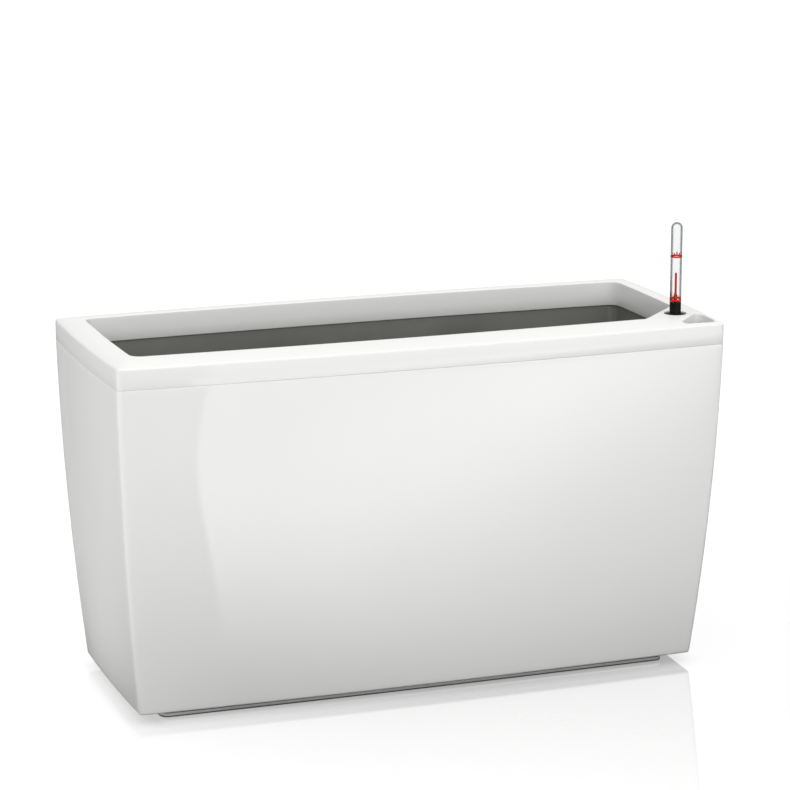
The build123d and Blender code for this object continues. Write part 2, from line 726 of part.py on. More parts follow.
def separator_legs():
    bottom_z = LINER_FLOOR_Z + LINER_FLOOR
    return Compound(children=[rod(x, y, bottom_z, SEPARATOR_Z, LEG_RADIUS) for x, y in leg_positions()])


# ---- Drain plug ----
def drain_plug():
    seat_z = LINER_FLOOR_Z + LINER_FLOOR + SEAL_HEIGHT
    head = rod(0, 0, seat_z, seat_z + PLUG_HEAD_HEIGHT, PLUG_HEAD_RADIUS)
    head = fillet(head.edges().group_by(Axis.Z)[-1], 1.2)
    grip = plate(-11, 11, -2, 2, seat_z + PLUG_HEAD_HEIGHT, seat_z + PLUG_HEAD_HEIGHT + 6)
    grip = fillet(grip.edges().group_by(Axis.Z)[-1], 1.5)
    return head + grip + rod(0, 0, PLUG_BOTTOM_Z, seat_z, PLUG_RADIUS)


def drain_seal():
    floor_top = LINER_FLOOR_Z + LINER_FLOOR
    return tube(0, 0, floor_top, floor_top + SEAL_HEIGHT, PLUG_RADIUS + 4, PLUG_RADIUS + PLUG_CLEARANCE)


# ---- Level indicator ----
def on_indicator(shape):
    return Pos(INDICATOR_X, INDICATOR_Y, 0) * shape


def level_tube_black():
    """The long opaque guide tube, slotted near its foot to let water in."""
    body = tube(0, 0, TUBE_BOTTOM_Z, TUBE_SPLIT_Z, TUBE_RADIUS, TUBE_BORE)
    for z in (60.0, 100.0, 140.0):
        body -= Pos(0, 0, z) * (Rot(0, 0, 45) * Box(30.0, 2.5, 16.0))
    return on_indicator(body)


def tube_end_cap():
    cap = rod(0, 0, CAP_BOTTOM_Z, TUBE_BOTTOM_Z, TUBE_RADIUS)
    cap += rod(0, 0, TUBE_BOTTOM_Z, CAP_TOP_Z, TUBE_BORE)
    return on_indicator(cap)


def level_tube_clear():
    """The clear domed tube, with a spigot into the guide tube below it."""
    outside_z = TUBE_TOP_Z - TUBE_RADIUS
    body = rod(0, 0, TUBE_SPLIT_Z, outside_z, TUBE_RADIUS) + Pos(0, 0, outside_z) * Sphere(TUBE_RADIUS)
    body += rod(0, 0, TUBE_SPLIT_Z - SPIGOT_LENGTH, TUBE_SPLIT_Z, TUBE_BORE)
    shoulder_z = TUBE_SPLIT_Z + 1.5
    bore = rod(0, 0, shoulder_z, outside_z, TUBE_BORE) + Pos(0, 0, outside_z) * Sphere(TUBE_BORE)
    bore += rod(0, 0, TUBE_SPLIT_Z - SPIGOT_LENGTH - 1, shoulder_z, SPIGOT_BORE)
    return on_indicator(body - bore)


def guide_collar():
    ring = rod(0, 0, COLLAR_BOTTOM_Z, COLLAR_TOP_Z, COLLAR_RADIUS)
    ring = chamfer(ring.edges().group_by(Axis.Z)[-1], 0.8)
    return on_indicator(ring - rod(0, 0, COLLAR_BOTTOM_Z - 1, COLLAR_TOP_Z + 1, TUBE_RADIUS))


def level_ring(bottom_z):
    return on_indicator(tube(0, 0, bottom_z, bottom_z + RING_HEIGHT, RING_RADIUS, TUBE_RADIUS))


def level_marks():
    """Plain tick marks above each ring, on the side that faces the user."""
    marks = []
    for bottom_z in (MIN_RING_Z + RING_HEIGHT + 0.8, MAX_RING_Z + RING_HEIGHT + 0.8):
        for step in (-2, -1, 0, 1, 2):
            height = 5.0 if step == 0 else 3.4
            mark = Pos(TUBE_RADIUS, 0, bottom_z + height / 2) * Box(4.0, MARK_WIDTH, height)
            mark &= tube(0, 0, bottom_z, bottom_z + height, TUBE_RADIUS + MARK_PROUD, TUBE_RADIUS)
            marks.append(on_indicator(Rot(0, 0, MARK_FACING + step * 26.0) * mark))
    return Compound(children=marks)


# ---- Float ----
def float_body():
    body = rod(0, 0, FLOAT_BOTTOM_Z, FLOAT_TOP_Z, FLOAT_RADIUS)
    return on_indicator(fillet(body.edges().filter_by(GeomType.CIRCLE), 2.0))


def float_pointer():
    """The red rod that the float carries, with a thicker hub near its tip."""
    stem = rod(0, 0, FLOAT_TOP_Z, POINTER_TIP_Z, POINTER_RADIUS)
    stem = fillet(stem.edges().group_by(Axis.Z)[-1], 1.0)
    hub = rod(0, 0, HUB_BOTTOM_Z, HUB_SHOULDER_Z, HUB_RADIUS)
    cone = Cone(HUB_RADIUS, POINTER_RADIUS, HUB_TOP_Z - HUB_SHOULDER_Z)
    hub += Pos(0, 0, (HUB_SHOULDER_Z + HUB_TOP_Z) / 2) * cone
    return on_indicator(stem + hub)


# ---- Write every sub-part ----
os.makedirs("parts", exist_ok=True)
save("outer_shell", outer_shell())
save("base_plinth", base_plinth())
save("foot_pads", foot_pads())
save("plinth_screws", plinth_screws())
save("plant_liner", plant_liner())
save("water_shaft", water_shaft())
save("guide_screws", guide_screws())
for side_name, side_sign in (("left", -1), ("right", 1)):
    save(f"handle_guide_{side_name}", handle_guide(side_sign))
    save(f"lift_handle_{side_name}", lift_handle(side_sign))
    save(f"handle_grip_{side_name}", handle_grip(side_sign))
save("planter_frame", planter_frame())
save("frame_pegs", frame_pegs())
save("soil_separator", soil_separator())
save("soil_cups", soil_cups())
save("separator_legs", separator_legs())
save("drain_plug", drain_plug())
save("drain_seal", drain_seal())
save("level_tube_black", level_tube_black())
save("level_tube_clear", level_tube_clear())
save("tube_end_cap", tube_end_cap())
save("guide_collar", guide_collar())
save("min_ring", level_ring(MIN_RING_Z))
save("max_ring", level_ring(MAX_RING_Z))
save("level_marks", level_marks())
save("float_body", float_body())
save("float_pointer", float_pointer())
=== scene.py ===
import json
import math

import bmesh
import bpy
import numpy as np
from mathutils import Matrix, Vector
from mathutils.geometry import delaunay_2d_cdt


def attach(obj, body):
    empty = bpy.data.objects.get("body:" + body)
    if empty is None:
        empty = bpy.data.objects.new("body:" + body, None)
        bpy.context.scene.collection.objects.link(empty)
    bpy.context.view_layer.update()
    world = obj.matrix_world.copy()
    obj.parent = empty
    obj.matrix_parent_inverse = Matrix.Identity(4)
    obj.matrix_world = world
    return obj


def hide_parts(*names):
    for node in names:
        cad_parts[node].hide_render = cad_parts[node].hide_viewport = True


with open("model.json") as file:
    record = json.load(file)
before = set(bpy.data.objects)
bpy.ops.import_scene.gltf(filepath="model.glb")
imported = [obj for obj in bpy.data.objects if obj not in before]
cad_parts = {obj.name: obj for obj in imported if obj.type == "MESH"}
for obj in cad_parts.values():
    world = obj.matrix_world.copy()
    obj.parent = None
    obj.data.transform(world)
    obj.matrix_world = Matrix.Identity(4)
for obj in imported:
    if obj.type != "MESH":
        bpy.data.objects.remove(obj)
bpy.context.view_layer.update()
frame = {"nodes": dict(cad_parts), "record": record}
NODES = frame["nodes"]
MM = 0.001

# ---- Plan of the planter, in millimetres, as the CAD model has it ----
# A plan is its half length, half width, bow of the ends and bow of the long sides.
OUTER_PLAN, CORNER_RADIUS = (370.5, 148.3, 4.5, 8.5), 6.0
OPENING_PLAN, OPENING_RADIUS = (343.5, 111.0, 2.0, 7.0), 13.0
SEAM_Z, SEAM_GAP = 400.8, 0.16
SHELL_BOTTOM_Z, SHELL_TAPER, LINEAR_SHARE = 12.0, 24.0, 0.33
BOW_LOSS, LEAST_CORNER_RADIUS = 2.0, 2.5
SHELL_WALL, LIP_OUTER, LIP_INNER, LIP_ROOT_Z, LIP_TOP_Z = 4.0, 2.9, 5.4, 388.0, 412.0
SHELL_FOOT_RADIUS, SHELL_FLOOR_RADIUS, LIP_EDGE_RADIUS = 2.6, 4.0, 0.6
RIM_EDGE_Z, RIM_TOP_Z = 424.9, 430.5
SKIRT_Z = SEAM_Z - 0.3
# The gusset and the funnel have a slanting side on which x - y is constant.
GUSSET_SUM, GUSSET_RADIUS, GUSSET_LEAD = 397.0, 10.0, 0.02
HOLE_X, HOLE_Y, HOLE_RADIUS = 330.4, -94.6, 13.4
FUNNEL_X, FUNNEL_Y, FUNNEL_SUM, FUNNEL_RADIUS, FUNNEL_SPACING = 362.3, -141.0, 455.5, 5.0, 3.0

# ---- Fineness of the meshes ----
POINT_DIGITS = 4
MERGE_DISTANCE, CAD_MERGE_DISTANCE = 1.5e-5, 1e-6
ALONG_STEPS, ACROSS_STEPS, CORNER_STEPS = 28, 14, 8
HOLE_STEPS, HOLE_ROW_STEPS, BOSS_STEPS, LATHE_STEPS, DOME_STEPS = 72, 40, 32, 96, 15


# ---- Mesh helpers ----
class Builder:
    """Collects faces by their corner points and merges equal points."""

    def __init__(self):
        self.points, self.index, self.faces = [], {}, []

    def vertex(self, p):
        key = (round(p[0], POINT_DIGITS), round(p[1], POINT_DIGITS), round(p[2], POINT_DIGITS))
        if key not in self.index:
            self.index[key] = len(self.points)
            self.points.append(key)
        return self.index[key]

    def face(self, *corners):
        ids = []
        for p in corners:
            v = self.vertex(p)
            if v not in ids:
                ids.append(v)
        if len(ids) > 2:
            self.faces.append(ids)

    def strip(self, lower, upper):
        """Quads between two closed rings of the same number of points."""
        count = len(lower)
        for i in range(count):
            j = (i + 1) % count
            self.face(lower[i], lower[j], upper[j], upper[i])

    def stack(self, rings, closed=False):
        """Strips from each ring to the next, and if closed a face over the first and the last ring."""
        if closed:
            self.face(*rings[0])
        for lower, upper in zip(rings, rings[1:]):
            self.strip(lower, upper)
        if closed:
            self.face(*rings[-1])

    def plate(self, outline, along_x, place, half_thickness, side):
        """A flat plate across one wall; outline is a list of (distance from the middle, z)."""
        ends = []
        for spot in (place - half_thickness, place + half_thickness):
            ends.append([(spot, side * d, z) if along_x else (side * d, spot, z) for d, z in outline])
        self.face(*ends[0])
        self.face(*reversed(ends[1]))
        self.strip(*ends)

    def build(self, name, smooth_angle=40.0):
        """Turns the faces into an object whose edges are smooth up to an angle in degrees."""
        mesh = bpy.data.meshes.new(name)
        mesh.from_pydata([[c * MM for c in p] for p in self.points], [], self.faces)
        work = bmesh.new()
        work.from_mesh(mesh)
        bmesh.ops.remove_doubles(work, verts=work.verts, dist=MERGE_DISTANCE)
        bmesh.ops.recalc_face_normals(work, faces=work.faces)
        work.to_mesh(mesh)
        work.free()
        piece = bpy.data.objects.new(name, mesh)
        bpy.context.scene.collection.objects.link(piece)
        mesh.shade_smooth()
        mesh.set_sharp_from_angle(angle=math.radians(smooth_angle))
        return piece


def at(ring, z):
    """The points of a plan ring at one height."""
    return [(p[0], p[1], z) for p in ring]


def arc_points(centre, radius, start, end, steps):
    """Points on an arc, angles in radians, both ends included."""
    turns = np.linspace(start, end, steps + 1)
    return [(centre[0] + radius * math.cos(t), centre[1] + radius * math.sin(t)) for t in turns]


def wall_at(plan, along_x, place):
    """How far a bowed wall is from the middle, at a place along a long side or an end."""
    half_length, half_width, end_bow, side_bow = plan
    if along_x:
        return half_width + side_bow * (1 - (place / half_length) ** 2)
    return half_length + end_bow * (1 - (place / half_width) ** 2)


def bowed_ring(plan, radius):
    """A ring of points round a plan with four bowed sides and rounded corners, from the front middle."""
    half_length, half_width, end_bow, side_bow = plan

    def side(x):
        y = -wall_at(plan, True, x)
        slope = 2 * side_bow * x / half_length**2
        length = math.hypot(slope, 1)
        return (x, y), (-slope / length, 1 / length)

    def end(y):
        x = wall_at(plan, False, y)
        slope = -2 * end_bow * y / half_width**2
        length = math.hypot(slope, 1)
        return (x, y), (-1 / length, slope / length)

    x1, y2 = half_length - radius, -(half_width - radius)
    for _ in range(40):
        (p1, n1), (p2, n2) = side(x1), end(y2)
        x1 += (p2[0] + radius * n2[0]) - (p1[0] + radius * n1[0])
        y2 += (p1[1] + radius * n1[1]) - (p2[1] + radius * n2[1])
    (p1, n1), (p2, n2) = side(x1), end(y2)
    centre = (p1[0] + radius * n1[0], p1[1] + radius * n1[1])
    start, stop = math.atan2(-n1[1], -n1[0]), math.atan2(-n2[1], -n2[0])
    quarter = [side(x)[0] for x in np.linspace(0, x1, ALONG_STEPS + 1)]
    quarter += arc_points(centre, radius, start, stop, CORNER_STEPS)[1:]
    quarter += [end(y)[0] for y in np.linspace(y2, 0, ACROSS_STEPS + 1)[1:]]
    right = quarter + [(x, -y) for x, y in reversed(quarter[:-1])]
    return right + [(-x, y) for x, y in reversed(right[1:-1])]


def shell_ring(z, inset):
    """The tapered shell's outline at a height, moved inward by inset."""
    share = max(0.0, (SEAM_Z - z) / (SEAM_Z - SHELL_BOTTOM_Z))
    shrink = inset + SHELL_TAPER * (LINEAR_SHARE * share + (1 - LINEAR_SHARE) * share**2)
    half_length, half_width, end_bow, side_bow = OUTER_PLAN
    loss = BOW_LOSS * share
    plan = (half_length - shrink, half_width - shrink, end_bow - loss, side_bow - loss)
    return bowed_ring(plan, max(CORNER_RADIUS - inset, LEAST_CORNER_RADIUS))


def round_corners(points, radii):
    """A closed polygon of points with each corner rounded by its own radius (0 keeps it)."""
    ring = []
    count = len(points)
    for i, p in enumerate(points):
        if radii[i] == 0:
            ring.append(p)
            continue
        here = Vector(p)
        before = (Vector(points[i - 1]) - here).normalized()
        after = (Vector(points[(i + 1) % count]) - here).normalized()
        half = before.angle(after) / 2
        reach = radii[i] / math.tan(half)
        centre = here + (before + after).normalized() * (radii[i] / math.sin(half))
        a, b = here + before * reach - centre, here + after * reach - centre
        turn = a.angle_signed(b)
        start = math.atan2(a.y, a.x)
        ring += arc_points(centre, radii[i], start, start - turn, CORNER_STEPS)
    return ring


def resample(ring, spacing):
    """Adds points on a ring's long segments."""
    out = []
    for p, q in zip(ring, ring[1:] + ring[:1]):
        parts = max(1, int(math.dist(p, q) / spacing))
        out += [(p[0] + (q[0] - p[0]) * k / parts, p[1] + (q[1] - p[1]) * k / parts) for k in range(parts)]
    return out


def opening_ring(grow):
    """The planting opening's outline with its corner cut by the gusset, moved outward by grow."""
    half_length, half_width, end_bow, side_bow = OPENING_PLAN
    full = bowed_ring((half_length + grow, half_width + grow, end_bow, side_bow), OPENING_RADIUS + grow)
    cut = GUSSET_SUM + grow * math.sqrt(2)
    keep = [p for p in full if p[0] - p[1] < cut]
    first = max(range(len(keep)), key=lambda i: math.dist(keep[i], keep[(i + 1) % len(keep)]))
    keep = keep[first + 1:] + keep[:first + 1]
    front, right = keep[-1], keep[0]
    front_y = front[1] - GUSSET_LEAD * (cut + front[1] - front[0])
    right_x = right[0] - GUSSET_LEAD * (right[0] - cut - right[1])
    corners = [front, (cut + front_y, front_y), (right_x, right_x - cut), right]
    cut_part = round_corners(corners, [0, GUSSET_RADIUS, GUSSET_RADIUS, 0])
    return keep[:-1] + cut_part[:-1]


def funnel_ring(grow):
    """The triangular filling opening's outline, moved outward by grow."""
    x, y, total = FUNNEL_X + grow, FUNNEL_Y - grow, FUNNEL_SUM - grow * math.sqrt(2)
    corners = [(x, y), (x, x - total), (total + y, y)]
    return resample(round_corners(corners, [FUNNEL_RADIUS + grow] * 3), FUNNEL_SPACING)


def circle_ring(x, y, radius, count):
    return arc_points((x, y), radius, 0, math.tau, count)[:-1]


def turned(name, profile, x, y):
    """A lathe form round an upright axis; profile is a list of (radius, z) that ends where it starts."""
    build = Builder()
    build.stack([at(circle_ring(x, y, radius, LATHE_STEPS), z) for radius, z in profile])
    return build.build(name)


def rounding(inset, z, radius, from_angle, to_angle, steps=4):
    """Points (inset, z) on a rounding about a centre; 0 degrees points outward, 90 up."""
    turns = np.radians(np.linspace(from_angle, to_angle, steps + 1))
    return [(inset - radius * math.cos(t), z + radius * math.sin(t)) for t in turns]


# ---- Materials ----
NOISE_DETAIL, NOISE_ROUGHNESS, NOISE_LOW, NOISE_HIGH = 3.0, 0.55, 0.3, 0.7
TINT_LOW, TINT_HIGH = 0.35, 0.65
GLOSS_FINENESS, GLOSS_DETAIL, GRAIN_DETAIL = 6, 4.0, 2.0
RIPPLE_SCALE, RIPPLE_DETAIL = 9.0, 1.0
# Where a coated surface turns upward between these values of its normal's Z, it keeps this share of its coat.
TOP_START, TOP_END, TOP_COAT = 0.6, 0.95, 0.25
COAT_ROUGHNESS = 0.01
# Heights in millimetres between which the plinth goes from painted shade to pale, and from pale to painted shade
# again; the shade stands in for the shadow under the shell above and at the floor below.
PLINTH_SHADE_BAND, PAINTED_SHADE_LEVEL = (2.6, 3.2, 5.4, 6.2), 0.16


def nodes_of(name):
    """A new material with its node tree and its shader."""
    material = bpy.data.materials.new(name)
    material.use_nodes = True
    tree = material.node_tree
    return material, tree, tree.nodes["Principled BSDF"]


def feed(tree, value, socket):
    """Gives a socket a number or another node's output."""
    if isinstance(value, (int, float)):
        socket.default_value = value
    else:
        tree.links.new(value, socket)


def arithmetic(tree, operation, first, second=0.0):
    node = tree.nodes.new("ShaderNodeMath")
    node.operation = operation
    for socket, value in zip(node.inputs, (first, second)):
        feed(tree, value, socket)
    return node.outputs["Value"]


def map_range(tree, source, from_min, from_max, to_min, to_max, smooth=True):
    """Turns one range of numbers into another, and holds the end values outside of it."""
    node = tree.nodes.new("ShaderNodeMapRange")
    node.interpolation_type = "SMOOTHSTEP" if smooth else "LINEAR"
    node.inputs["From Min"].default_value = from_min
    node.inputs["From Max"].default_value = from_max
    node.inputs["To Min"].default_value = to_min
    node.inputs["To Max"].default_value = to_max
    tree.links.new(source, node.inputs["Value"])
    return node.outputs["Result"]


def mixed(tree, factor, first, second):
    """The first number where factor is 0 and the second where it is 1."""
    node = tree.nodes.new("ShaderNodeMix")
    node.data_type = "FLOAT"
    for name, value in (("Factor", factor), ("A", first), ("B", second)):
        feed(tree, value, node.inputs[name])
    return node.outputs["Result"]


def axes(tree, vector):
    """The outputs X, Y and Z of a vector."""
    split = tree.nodes.new("ShaderNodeSeparateXYZ")
    tree.links.new(vector, split.inputs["Vector"])
    return split.outputs


def object_place(tree):
    return tree.nodes.new("ShaderNodeTexCoord").outputs["Object"]


def noise(tree, scale, detail=NOISE_DETAIL):
    texture = tree.nodes.new("ShaderNodeTexNoise")
    texture.inputs["Scale"].default_value = scale
    texture.inputs["Detail"].default_value = detail
    texture.inputs["Roughness"].default_value = NOISE_ROUGHNESS
    tree.links.new(object_place(tree), texture.inputs["Vector"])
    return texture.outputs["Fac"]


def ramp(tree, source, low, high, stops):
    """A colour that goes from the first stop to the second as source goes from low to high."""
    node = tree.nodes.new("ShaderNodeValToRGB")
    node.color_ramp.elements[0].position = low
    node.color_ramp.elements[1].position = high
    node.color_ramp.elements[0].color = (*stops[0], 1)
    node.color_ramp.elements[1].color = (*stops[1], 1)
    tree.links.new(source, node.inputs["Fac"])
    return node.outputs["Color"]


def spread(tree, source, low, high):
    """Spreads a noise over the values from low to high."""
    return map_range(tree, source, NOISE_LOW, NOISE_HIGH, low, high, smooth=False)


def bump(tree, height, distance, normal=None):
    """A surface relief, on top of another one if normal is given."""
    node = tree.nodes.new("ShaderNodeBump")
    node.inputs["Strength"].default_value = 1.0
    node.inputs["Distance"].default_value = distance
    tree.links.new(height, node.inputs["Height"])
    if normal:
        tree.links.new(normal, node.inputs["Normal"])
    return node.outputs["Normal"]


def moulded(name, colours, roughness, tint_scale, grain_scale, grain_depth, coat=0.0, specular=0.5, ripple=0.0):
    """Moulded plastic or rubber: slow colour drift, uneven gloss and a fine surface grain."""
    material, tree, shader = nodes_of(name)
    tint = ramp(tree, noise(tree, tint_scale), TINT_LOW, TINT_HIGH, colours)
    tree.links.new(tint, shader.inputs["Base Color"])
    gloss = noise(tree, tint_scale * GLOSS_FINENESS, GLOSS_DETAIL)
    tree.links.new(spread(tree, gloss, *roughness), shader.inputs["Roughness"])
    normal = None
    if ripple:
        normal = bump(tree, noise(tree, RIPPLE_SCALE, RIPPLE_DETAIL), ripple)
    normal = bump(tree, noise(tree, grain_scale, GRAIN_DETAIL), grain_depth, normal)
    tree.links.new(normal, shader.inputs["Normal"])
    shader.inputs["Specular IOR Level"].default_value = specular
    if coat:
        upward = axes(tree, tree.nodes.new("ShaderNodeNewGeometry").outputs["Normal"])["Z"]
        weight = map_range(tree, upward, TOP_START, TOP_END, coat, coat * TOP_COAT)
        tree.links.new(weight, shader.inputs["Coat Weight"])
        shader.inputs["Coat Roughness"].default_value = COAT_ROUGHNESS
    return material


def shade_banded(material):
    """Paints shade on a moulding's upper and lower edges, where the shell above and the floor below shade it, and
    leaves the band between them pale.
    """
    tree = material.node_tree
    height = axes(tree, object_place(tree))["Z"]
    low, low_end, high, high_end = [z * MM for z in PLINTH_SHADE_BAND]
    above = map_range(tree, height, low, low_end, PAINTED_SHADE_LEVEL, 1.0)
    below = map_range(tree, height, high, high_end, 1.0, PAINTED_SHADE_LEVEL)
    colour = tree.nodes.new("ShaderNodeVectorMath")
    colour.operation = "SCALE"
    target = tree.nodes["Principled BSDF"].inputs["Base Color"]
    tree.links.new(target.links[0].from_socket, colour.inputs[0])
    tree.links.new(arithmetic(tree, "MULTIPLY", above, below), colour.inputs["Scale"])
    tree.links.new(colour.outputs["Vector"], target)
    return material


def clear_plastic(name):
    """Clear moulded plastic, with darkness painted where it is seen edge-on, in place of what a clear tube refracts
    and mirrors at its edges.
    """
    material, tree, shader = nodes_of(name)
    facing = tree.nodes.new("ShaderNodeLayerWeight")
    facing.inputs["Blend"].default_value = 0.5
    # Painted darkness standing in for refraction and reflection at the edges: the colour turns dark where the surface
    # is seen edge-on.
    tint = ramp(tree, facing.outputs["Facing"], 0.2, 0.55, [(0.92, 0.925, 0.925), (0.05, 0.055, 0.055)])
    tree.links.new(tint, shader.inputs["Base Color"])
    tree.links.new(spread(tree, noise(tree, 300.0), 0.0, 0.02), shader.inputs["Roughness"])
    shader.inputs["Transmission Weight"].default_value = 1.0
    shader.inputs["IOR"].default_value = 1.3
    return material


def zinc(name):
    """Zinc-plated steel with a cloudy tint."""
    material, tree, shader = nodes_of(name)
    tint = ramp(tree, noise(tree, 400.0), 0.3, 0.7, [(0.46, 0.46, 0.47), (0.62, 0.62, 0.62)])
    tree.links.new(tint, shader.inputs["Base Color"])
    tree.links.new(spread(tree, noise(tree, 900.0), 0.25, 0.45), shader.inputs["Roughness"])
    shader.inputs["Metallic"].default_value = 1.0
    return material


MATERIALS = {
    "shell_white": moulded(
        "gloss_white",
        [(0.857, 0.858, 0.845), (0.876, 0.877, 0.864)],
        (0.16, 0.22),
        3.0,
        900.0,
        0.000003,
        coat=1.0,
        specular=0.0,
        ripple=0.00004,
    ),
    # The plinth's dark upper and lower edges are painted shade.
    "plinth_grey": shade_banded(
        moulded("plinth_grey", [(0.8, 0.8, 0.78), (0.86, 0.86, 0.84)], (0.4, 0.5), 12.0, 1500.0, 0.00002)
    ),
    "pad_rubber": moulded("pad_rubber", [(0.03, 0.03, 0.03), (0.05, 0.05, 0.05)], (0.7, 0.85), 60.0, 1200.0, 0.00004),
    "screw_steel": zinc("zinc_steel"),
    "liner_grey": moulded(
        "liner_anthracite", [(0.126, 0.13, 0.117), (0.142, 0.145, 0.13)], (0.42, 0.58), 10.0, 1600.0, 0.00005
    ),
    "handle_grey": moulded(
        "handle_grey", [(0.13, 0.13, 0.125), (0.17, 0.17, 0.165)], (0.3, 0.42), 20.0, 1500.0, 0.00003
    ),
    "grip_rubber": moulded(
        "grip_rubber", [(0.028, 0.028, 0.028), (0.045, 0.045, 0.045)], (0.6, 0.8), 60.0, 900.0, 0.00008
    ),
    "peg_nylon": moulded("peg_nylon", [(0.72, 0.72, 0.68), (0.8, 0.8, 0.77)], (0.35, 0.5), 60.0, 1500.0, 0.00002),
    "separator_black": moulded(
        "separator_black", [(0.02, 0.02, 0.02), (0.034, 0.034, 0.034)], (0.35, 0.5), 20.0, 1400.0, 0.00005
    ),
    "indicator_black": moulded(
        "indicator_black",
        [(0.003, 0.003, 0.003), (0.007, 0.007, 0.007)],
        (0.4, 0.5),
        80.0,
        1800.0,
        0.00002,
        specular=0.12,
    ),
    "indicator_clear": clear_plastic("clear_plastic"),
    "indicator_red": moulded(
        "signal_red",
        [(0.66, 0.022, 0.003), (0.76, 0.034, 0.005)],
        (0.3, 0.42),
        90.0,
        1500.0,
        0.00001,
        specular=0.1,
    ),
    "seal_rubber": moulded(
        "seal_rubber", [(0.015, 0.015, 0.015), (0.03, 0.03, 0.03)], (0.6, 0.75), 80.0, 1200.0, 0.00003
    ),
    "float_foam": moulded("float_foam", [(0.7, 0.69, 0.65), (0.82, 0.81, 0.77)], (0.7, 0.85), 200.0, 700.0, 0.0001),
}
SLOT_OF = {part["node"]: part["material_slot"] for part in frame["record"]["subparts"]}
BODY_OF = {node: body for body, nodes in frame["record"]["behaviour"]["bodies"].items() for node in nodes}


def dress(piece, slot_name):
    piece.data.materials.clear()
    piece.data.materials.append(MATERIALS[slot_name])
    return piece


def stands_for(piece, *names):
    """A detailed piece takes the place, body and material of one or more CAD nodes."""
    slot_name = SLOT_OF[names[0]]
    dress(piece, slot_name)
    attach(piece, BODY_OF[names[0]])
    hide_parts(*names)
    return piece


# ---- Outer shell ----
OUTSIDE_ROWS, INSIDE_ROWS = 46, 30
LEDGE_X, LEDGE_Y = (-260.0, -87.0, 87.0, 260.0), (-62.0, 62.0)
LEDGE_ROOT, LEDGE_REACH, LEDGE_HALF_THICKNESS, LEDGE_EDGE = 2.5, 20.0, 1.5, 1.0
LEDGE_LOW_Z, LEDGE_TIP_Z, LEDGE_TOP_Z = 351.0, 384.0, SKIRT_Z - 3.0


def shell_profile():
    """(inset, z) down the outside, under the floor's edge, and back up the inside."""
    top, floor = SEAM_Z - SEAM_GAP / 2, SHELL_BOTTOM_Z + SHELL_WALL
    foot, fillet, edge = SHELL_FOOT_RADIUS, SHELL_FLOOR_RADIUS, LIP_EDGE_RADIUS
    outside = rounding(foot, SHELL_BOTTOM_Z + foot, foot, -90, 0, 6)
    outside += [(0.0, z) for z in np.linspace(SHELL_BOTTOM_Z + 8, top - 6, OUTSIDE_ROWS)]
    outside += rounding(edge, top - edge, edge, 0, 90)
    lip = [(LIP_OUTER, top)] + rounding(LIP_OUTER + edge, LIP_TOP_Z - edge, edge, 0, 90)
    lip += rounding(LIP_INNER - edge, LIP_TOP_Z - edge, edge, 90, 180)
    lip += [(LIP_INNER, SEAM_Z - 4), (LIP_INNER, LIP_ROOT_Z), (SHELL_WALL, LIP_ROOT_Z - 1.4)]
    inside = [(SHELL_WALL, z) for z in np.linspace(LIP_ROOT_Z - 8, floor + 6, INSIDE_ROWS)]
    inside += rounding(SHELL_WALL + fillet, floor + fillet, fillet, 180, 270)
    return outside + lip + inside


def ledge(build, along_x, place, side):
    """One bracket inside the shell that carries the liner's flange."""
    wall = wall_at(OUTER_PLAN, along_x, place)
    root, tip = wall - LEDGE_ROOT, wall - LEDGE_REACH
    outline = [(root, LEDGE_LOW_Z), (tip, LEDGE_TIP_Z), (tip, LEDGE_TOP_Z - LEDGE_EDGE)]
    outline += [(tip + LEDGE_EDGE, LEDGE_TOP_Z), (root, LEDGE_TOP_Z)]
    build.plate(outline, along_x, place, LEDGE_HALF_THICKNESS, side)


def outer_shell():
    build = Builder()
    build.stack([at(shell_ring(z, inset), z) for inset, z in shell_profile()], closed=True)
    for side in (-1, 1):
        for x in LEDGE_X:
            ledge(build, True, x, side)
        for y in LEDGE_Y:
            ledge(build, False, y, side)
    return stands_for(build.build("shell_skin"), "outer_shell")


# ---- Rim frame ----
CROWN_POWER, LEAST_POWER, LEAST_DISTANCE = 2.3, 5.0, 0.01
EDGE_ROUND = {"outer": 1.5, "opening": 1.1, "hole": 0.6, "funnel": 1.4}
EDGE_ANGLES = (18, 36, 54, 72, 90)
# Rows of mesh points on the top, by their distance from the outer edge and from the openings.
OUTER_ROWS = (3.4, 5.0, 7.0, 9.4, 12.2, 15.4, 19.0, 23.2, 28.0, 33.0)
OPENING_ROWS, ROW_MARGIN = (3.0, 6.0, 9.0), 0.9
FRAME_WALL, HOLE_WALL, FUNNEL_WALL = 2.5, 2.0, 1.8
CEILING_EDGE_Z, CEILING_RISE, CEILING_REACH = RIM_EDGE_Z - 3.4, 5.0, 32.0
SKIRT_LOWS = {"outer": SEAM_Z + SEAM_GAP / 2, "opening": SKIRT_Z, "hole": 417.0, "funnel": SKIRT_Z + 0.4}
# The foot of a skirt: shares of the way across its wall, and of the foot's rounding.
SKIRT_BAND, FOOT_ROUND, FOOT_STEPS = 12.0, 0.6, ((0.08, 0.3), (0.25, 0.0), (0.75, 0.0), (0.92, 0.3))
RIB_X, RIB_Y = (-300.0, -240.0, -150.0, -100.0, -50.0, 50.0, 100.0, 150.0, 240.0), (-40.0, 40.0, 90.0)
RIB_LOW_Z, RIB_OUTER_Z, RIB_INNER_Z, RIB_HALF_THICKNESS, RIB_SINK = 414.0, 422.2, 426.6, 1.0, 0.1
PEG_X, PEG_Y = (-200.0, 0.0, 200.0), 134.5
BOSS_PROFILE = ((3.1, 415.0), (3.1, 403.3), (3.4, 403.0), (4.6, 403.0), (5.0, 403.4), (5.0, 426.5))
FRAME_SMOOTH_ANGLE = 50.0


def side_distances(points, plan):
    """Distance of each point inside the plan from its four bowed sides."""
    x, y = points[:, 0], points[:, 1]
    side, end = wall_at(plan, True, x), wall_at(plan, False, y)
    return np.stack([side + y, side - y, end + x, end - x])


